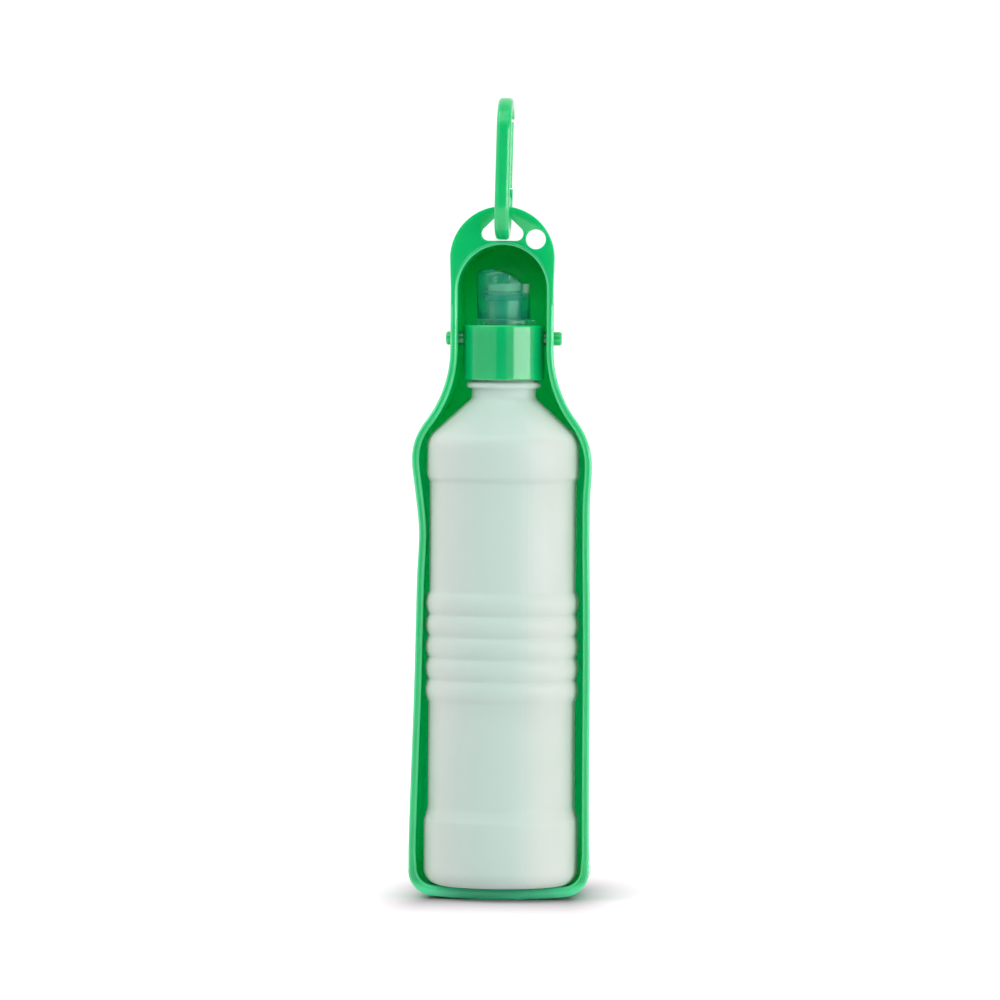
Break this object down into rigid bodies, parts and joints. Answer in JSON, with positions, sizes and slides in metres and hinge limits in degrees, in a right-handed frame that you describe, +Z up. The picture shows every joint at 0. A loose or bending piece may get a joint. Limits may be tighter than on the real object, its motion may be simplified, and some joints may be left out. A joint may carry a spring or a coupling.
{
  "type": "dog travel water bottle with folding trough",
  "caption": "Squeeze bottle with a twist nozzle, hung by trunnion pins in a folding drinking trough, with a snap hook on the trough's tab.",
  "frame": {"origin": "On the trough's flat foot, straight below the axis of the bottle's pivot, in the trough's middle plane", "axes": "+Z up along the bottle, the trough's open side faces -Y, +X to the right as seen from the open side"},
  "size_m": [0.0708, 0.0632, 0.3121],
  "materials": {
    "tray_plastic": "green injection-moulded polypropylene, glossy",
    "bottle_plastic": "milky translucent blow-moulded polyethylene",
    "cap_plastic": "green moulded plastic, high gloss",
    "nozzle_plastic": "clear moulded plastic",
    "stem_plastic": "milky translucent moulded plastic",
    "seal_rubber": "whitish silicone",
    "gasket_rubber": "white elastomer washer",
    "clip_plastic": "green moulded plastic, glossy",
    "gate_plastic": "green moulded plastic, glossy",
    "pin_steel": "plain drawn steel wire"
  },
  "bodies": {
    "trough": {"tray": "tray_plastic"},
    "cap_assembly": {"cap": "cap_plastic", "valve_stem": "stem_plastic", "stem_seal": "seal_rubber", "neck_gasket": "gasket_rubber"},
    "nozzle": {"nozzle": "nozzle_plastic"},
    "bottle": {"bottle": "bottle_plastic"},
    "clip": {"clip_body": "clip_plastic", "gate_pin": "pin_steel"},
    "gate": {"clip_gate": "gate_plastic"}
  },
  "joints": [
    {"name": "bottle_swing", "type": "hinge", "parent": "trough", "child": "cap_assembly", "pos_m": [0, 0, 0.2185], "axis": [-1, 0, 0], "range_deg": [0, 115]},
    {"name": "nozzle_twist", "type": "hinge", "parent": "cap_assembly", "child": "nozzle", "pos_m": [0.0003, 0, 0.2238], "axis": [0, 0, 1], "range_deg": [0, 90]},
    {"name": "bottle_turn", "type": "hinge", "parent": "cap_assembly", "child": "bottle", "pos_m": [0.0003, 0, 0.2192], "axis": [0, 0, -1], "range_deg": [0, 150]},
    {"name": "clip_swing", "type": "hinge", "parent": "trough", "child": "clip", "pos_m": [0.00027, -0.009, 0.2699], "axis": [0.9998, 0, -0.0209], "range_deg": [-80, 50]},
    {"name": "gate_flex", "type": "hinge", "parent": "clip", "child": "gate", "pos_m": [0.00037, 0.0017, 0.2744], "axis": [0.9998, 0, -0.0209], "range_deg": [0, 28], "stiffness_Nm_per_rad": 0.1, "springref_deg": -5.73}
  ]
}
